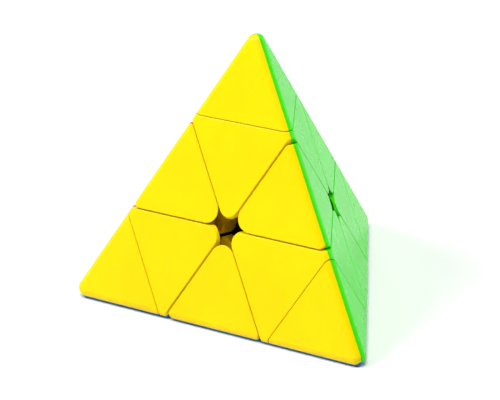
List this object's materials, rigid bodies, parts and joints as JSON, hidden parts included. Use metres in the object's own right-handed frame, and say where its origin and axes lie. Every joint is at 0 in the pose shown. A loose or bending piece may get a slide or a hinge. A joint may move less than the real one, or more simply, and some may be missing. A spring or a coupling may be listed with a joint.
{
  "type": "pyramid twisty puzzle",
  "caption": "Four-coloured tetrahedral twisty puzzle whose corner layers and tips turn about the axes through its corners.",
  "frame": {"origin": "centre of the core, where the four turning axes meet, which is also the puzzle's centroid", "axes": "+Z through the top corner, away from the blue face it stands on; -Y towards the yellow face, +X between the yellow and green faces"},
  "size_m": [0.0996, 0.0866, 0.0813],
  "materials": {
    "yellow_plastic": "smooth semi-gloss moulded plastic",
    "green_plastic": "smooth semi-gloss moulded plastic",
    "red_plastic": "smooth semi-gloss moulded plastic",
    "blue_plastic": "smooth semi-gloss moulded plastic",
    "dark_plastic": "plain moulded plastic",
    "steel": "bright zinc"
  },
  "bodies": {
    "core": {"core": "dark_plastic", "tension_screws": "steel", "spring_washers": "steel", "tension_springs": "steel"},
    "centre_top": {"hub_top": "dark_plastic", "centre_top_green": "green_plastic", "centre_top_red": "red_plastic", "centre_top_yellow": "yellow_plastic"},
    "centre_left": {"hub_left": "dark_plastic", "centre_left_blue": "blue_plastic", "centre_left_red": "red_plastic", "centre_left_yellow": "yellow_plastic"},
    "centre_right": {"hub_right": "dark_plastic", "centre_right_blue": "blue_plastic", "centre_right_green": "green_plastic", "centre_right_yellow": "yellow_plastic"},
    "centre_back": {"hub_back": "dark_plastic", "centre_back_blue": "blue_plastic", "centre_back_green": "green_plastic", "centre_back_red": "red_plastic"},
    "tip_top": {"tip_stem_top": "dark_plastic", "tip_top_green": "green_plastic", "tip_top_red": "red_plastic", "tip_top_yellow": "yellow_plastic"},
    "tip_left": {"tip_stem_left": "dark_plastic", "tip_left_blue": "blue_plastic", "tip_left_red": "red_plastic", "tip_left_yellow": "yellow_plastic"},
    "tip_right": {"tip_stem_right": "dark_plastic", "tip_right_blue": "blue_plastic", "tip_right_green": "green_plastic", "tip_right_yellow": "yellow_plastic"},
    "tip_back": {"tip_stem_back": "dark_plastic", "tip_back_blue": "blue_plastic", "tip_back_green": "green_plastic", "tip_back_red": "red_plastic"},
    "edge_top_left": {"edge_top_left_yellow": "yellow_plastic", "edge_top_left_red": "red_plastic"},
    "edge_top_right": {"edge_top_right_yellow": "yellow_plastic", "edge_top_right_green": "green_plastic"},
    "edge_top_back": {"edge_top_back_red": "red_plastic", "edge_top_back_green": "green_plastic"},
    "edge_left_right": {"edge_left_right_yellow": "yellow_plastic", "edge_left_right_blue": "blue_plastic"},
    "edge_left_back": {"edge_left_back_red": "red_plastic", "edge_left_back_blue": "blue_plastic"},
    "edge_right_back": {"edge_right_back_green": "green_plastic", "edge_right_back_blue": "blue_plastic"}
  },
  "joints": [
    {"name": "layer_top_turn", "type": "hinge", "parent": "core", "child": "centre_top", "pos_m": [0, 0, 0], "axis": [0, 0, 1], "continuous": true},
    {"name": "layer_left_turn", "type": "hinge", "parent": "core", "child": "centre_left", "pos_m": [0, 0, 0], "axis": [-0.8165, -0.4714, -0.3333], "range_deg": [-360, 360]},
    {"name": "layer_right_turn", "type": "hinge", "parent": "core", "child": "centre_right", "pos_m": [0, 0, 0], "axis": [0.8165, -0.4714, -0.3333], "range_deg": [-360, 360]},
    {"name": "layer_back_turn", "type": "hinge", "parent": "core", "child": "centre_back", "pos_m": [0, 0, 0], "axis": [0, 0.9428, -0.3333], "range_deg": [-360, 360]},
    {"name": "tip_top_spin", "type": "hinge", "parent": "centre_top", "child": "tip_top", "pos_m": [0, 0, 0], "axis": [0, 0, 1], "continuous": true},
    {"name": "tip_left_spin", "type": "hinge", "parent": "centre_left", "child": "tip_left", "pos_m": [0, 0, 0], "axis": [-0.8165, -0.4714, -0.3333], "continuous": true},
    {"name": "tip_right_spin", "type": "hinge", "parent": "centre_right", "child": "tip_right", "pos_m": [0, 0, 0], "axis": [0.8165, -0.4714, -0.3333], "continuous": true},
    {"name": "tip_back_spin", "type": "hinge", "parent": "centre_back", "child": "tip_back", "pos_m": [0, 0, 0], "axis": [0, 0.9428, -0.3333], "continuous": true},
    {"name": "edge_top_left_with_left", "type": "hinge", "parent": "centre_top", "child": "edge_top_left", "pos_m": [0, 0, 0], "axis": [-0.8165, -0.4714, -0.3333], "continuous": true},
    {"name": "edge_top_right_with_right", "type": "hinge", "parent": "centre_top", "child": "edge_top_right", "pos_m": [0, 0, 0], "axis": [0.8165, -0.4714, -0.3333], "continuous": true},
    {"name": "edge_top_back_with_back", "type": "hinge", "parent": "centre_top", "child": "edge_top_back", "pos_m": [0, 0, 0], "axis": [0, 0.9428, -0.3333], "continuous": true},
    {"name": "edge_left_right_with_right", "type": "hinge", "parent": "centre_left", "child": "edge_left_right", "pos_m": [0, 0, 0], "axis": [0.8165, -0.4714, -0.3333], "continuous": true},
    {"name": "edge_right_back_with_back", "type": "hinge", "parent": "centre_right", "child": "edge_right_back", "pos_m": [0, 0, 0], "axis": [0, 0.9428, -0.3333], "continuous": true},
    {"name": "edge_left_back_with_left", "type": "hinge", "parent": "centre_back", "child": "edge_left_back", "pos_m": [0, 0, 0], "axis": [-0.8165, -0.4714, -0.3333], "continuous": true}
  ],
  "couplings": [
    {"joint": "edge_top_left_with_left", "follows": "layer_left_turn", "ratio": 1},
    {"joint": "edge_top_right_with_right", "follows": "layer_right_turn", "ratio": 1},
    {"joint": "edge_top_back_with_back", "follows": "layer_back_turn", "ratio": 1},
    {"joint": "edge_left_right_with_right", "follows": "layer_right_turn", "ratio": 1},
    {"joint": "edge_right_back_with_back", "follows": "layer_back_turn", "ratio": 1},
    {"joint": "edge_left_back_with_left", "follows": "layer_left_turn", "ratio": 1}
  ]
}
